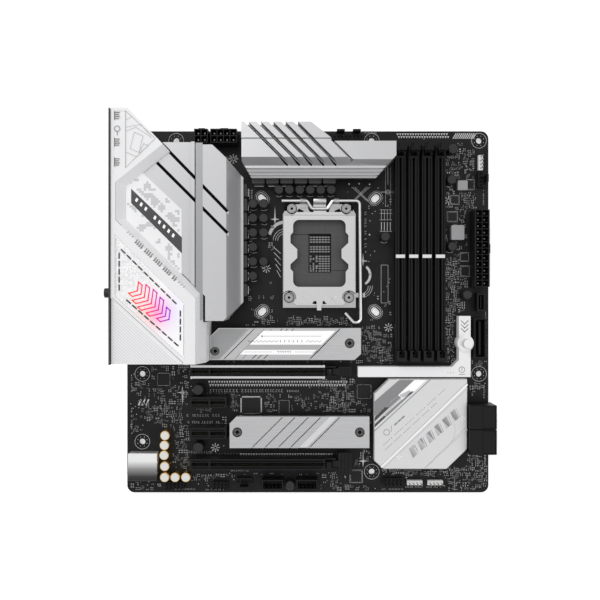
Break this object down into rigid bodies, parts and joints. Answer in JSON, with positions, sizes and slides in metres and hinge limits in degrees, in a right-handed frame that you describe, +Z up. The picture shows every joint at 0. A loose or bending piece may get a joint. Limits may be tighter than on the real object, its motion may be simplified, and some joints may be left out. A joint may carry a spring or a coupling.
{
  "type": "motherboard",
  "caption": "Micro-ATX computer motherboard with levered processor socket, latched memory and card slots, finned heatsinks, covered rear ports and a push-button slot release.",
  "frame": {"origin": "centre of the bounding box in plan, on the plane the backplate and screw heads stand on", "axes": "+X from the rear edge with the ports to the front edge, +Y towards the edge with the top heatsink, +Z up off the component side"},
  "size_m": [0.2542, 0.2486, 0.0435],
  "materials": {
    "laminate": "solder mask over woven glass laminate, satin",
    "black_plastic": "moulded black thermoplastic, fine texture",
    "white_plastic": "moulded white thermoplastic, satin",
    "key_plastic": "white moulded plastic, matte",
    "heatsink_alloy": "extruded and machined, bead-blasted, clear anodised",
    "heatsink_white": "machined, brushed and white coated",
    "steel": "stamped, nickel plated",
    "bright_steel": "bright nickel plating",
    "dark_steel": "black coated sheet",
    "shield_paint": "dark grey coated steel sheet",
    "screw_steel": "machined steel, blackened",
    "socket_plastic": "dark grey moulded liquid-crystal polymer",
    "gold": "gold flash over nickel",
    "badge": "translucent white plastic with printed and lit line work",
    "pad": "soft grey silicone gap filler",
    "ferrite": "pressed ferrite, matte",
    "cap_black": "black sleeved aluminium can",
    "cap_gold": "gold coloured can with white printed top",
    "chip": "moulded epoxy, matte",
    "mirror_can": "bright tinned sheet"
  },
  "bodies": {
    "board": {"circuit_board": "laminate", "socket_backplate": "dark_steel", "socket_housing": "socket_plastic", "socket_frame": "steel", "socket_screws": "bright_steel", "vrm_heatsink_top": "heatsink_alloy", "vrm_heatsink_side": "heatsink_alloy", "rear_cover": "white_plastic", "badge_panel": "badge", "rear_shield": "shield_paint", "usb_ports": "steel", "video_ports": "steel", "ethernet_jack": "steel", "audio_jacks": "black_plastic", "antenna_connectors": "gold", "wifi_module": "dark_steel", "flashback_switch": "black_plastic", "cpu_power_sockets": "black_plastic", "main_power_socket": "black_plastic", "power_pins": "gold", "memory_slot_keys": "key_plastic", "graphics_slot": "black_plastic", "graphics_slot_armour": "steel", "expansion_slots_x1": "black_plastic", "expansion_slot_x16": "black_plastic", "slot_release_cover": "white_plastic", "ssd_heatsink_upper": "heatsink_alloy", "ssd_heatsink_lower": "heatsink_alloy", "ssd_connectors": "black_plastic", "ssd_heatsink_screws": "screw_steel", "chipset_heatsink": "heatsink_white", "sata_sockets": "black_plastic", "audio_shield": "mirror_can", "audio_capacitors": "cap_gold", "polymer_capacitors": "cap_black", "power_chokes": "ferrite", "power_stages": "chip", "thermal_pads": "pad", "pin_headers": "black_plastic", "front_usb_socket": "steel", "lighting_headers": "key_plastic", "controller_chips": "chip", "heatsink_screws": "screw_steel", "cmos_battery": "steel", "memory_slot_1": "black_plastic", "memory_slot_2": "black_plastic", "memory_slot_3": "black_plastic", "memory_slot_4": "black_plastic"},
    "load_plate": {"load_plate": "steel"},
    "load_lever": {"load_lever": "bright_steel"},
    "flashback_button": {"flashback_button": "key_plastic"},
    "graphics_slot_latch": {"graphics_slot_latch": "black_plastic"},
    "expansion_slot_latch": {"expansion_slot_latch": "black_plastic"},
    "slot_release_button": {"slot_release_button": "white_plastic"},
    "ssd_latch_upper": {"ssd_latch_upper": "black_plastic"},
    "ssd_latch_lower": {"ssd_latch_lower": "black_plastic"},
    "memory_latch_1": {"memory_latch_1": "black_plastic"},
    "memory_latch_2": {"memory_latch_2": "black_plastic"},
    "memory_latch_3": {"memory_latch_3": "black_plastic"},
    "memory_latch_4": {"memory_latch_4": "black_plastic"}
  },
  "joints": [
    {"name": "lever_hinge", "type": "hinge", "parent": "board", "child": "load_lever", "pos_m": [0.01108, 0.07182, 0.0093], "axis": [-1, 0, 0], "range_deg": [0, 115]},
    {"name": "plate_hinge", "type": "hinge", "parent": "board", "child": "load_plate", "pos_m": [0.01108, 0.07182, 0.0087], "axis": [-1, 0, 0], "range_deg": [0, 95]},
    {"name": "graphics_latch_hinge", "type": "hinge", "parent": "board", "child": "graphics_slot_latch", "pos_m": [0.01938, -0.04168, 0.0077], "axis": [0, 1, 0], "range_deg": [0, 20]},
    {"name": "release_slide", "type": "slide", "parent": "board", "child": "slot_release_button", "axis": [0, 0, -1], "range_m": [0, 0.004], "stiffness_N_per_m": 400, "springref_m": -0.001},
    {"name": "expansion_latch_hinge", "type": "hinge", "parent": "board", "child": "expansion_slot_latch", "pos_m": [0.01938, -0.10264, 0.0077], "axis": [0, 1, 0], "range_deg": [0, 20]},
    {"name": "flashback_slide", "type": "slide", "parent": "board", "child": "flashback_button", "axis": [1, 0, 0], "range_m": [0, 0.0008], "stiffness_N_per_m": 800, "springref_m": -0.0002},
    {"name": "ssd_latch_upper_hinge", "type": "hinge", "parent": "board", "child": "ssd_latch_upper", "pos_m": [0.02638, -0.01698, 0.0081], "axis": [0, 0, 1], "range_deg": [0, 90]},
    {"name": "ssd_latch_lower_hinge", "type": "hinge", "parent": "board", "child": "ssd_latch_lower", "pos_m": [0.03218, -0.08708, 0.0081], "axis": [0, 0, -1], "range_deg": [0, 90]},
    {"name": "memory_latch_1_hinge", "type": "hinge", "parent": "board", "child": "memory_latch_1", "pos_m": [0.06498, 0.10492, 0.007], "axis": [-1, 0, 0], "range_deg": [0, 28]},
    {"name": "memory_latch_2_hinge", "type": "hinge", "parent": "board", "child": "memory_latch_2", "pos_m": [0.07381, 0.10492, 0.007], "axis": [-1, 0, 0], "range_deg": [0, 28]},
    {"name": "memory_latch_3_hinge", "type": "hinge", "parent": "board", "child": "memory_latch_3", "pos_m": [0.08264, 0.10492, 0.007], "axis": [-1, 0, 0], "range_deg": [0, 28]},
    {"name": "memory_latch_4_hinge", "type": "hinge", "parent": "board", "child": "memory_latch_4", "pos_m": [0.09147, 0.10492, 0.007], "axis": [-1, 0, 0], "range_deg": [0, 28]}
  ],
  "couplings": [
    {"joint": "plate_hinge", "follows": "lever_hinge", "ratio": 0.82},
    {"joint": "graphics_latch_hinge", "follows": "release_slide", "rad_per_m": 87.246}
  ]
}
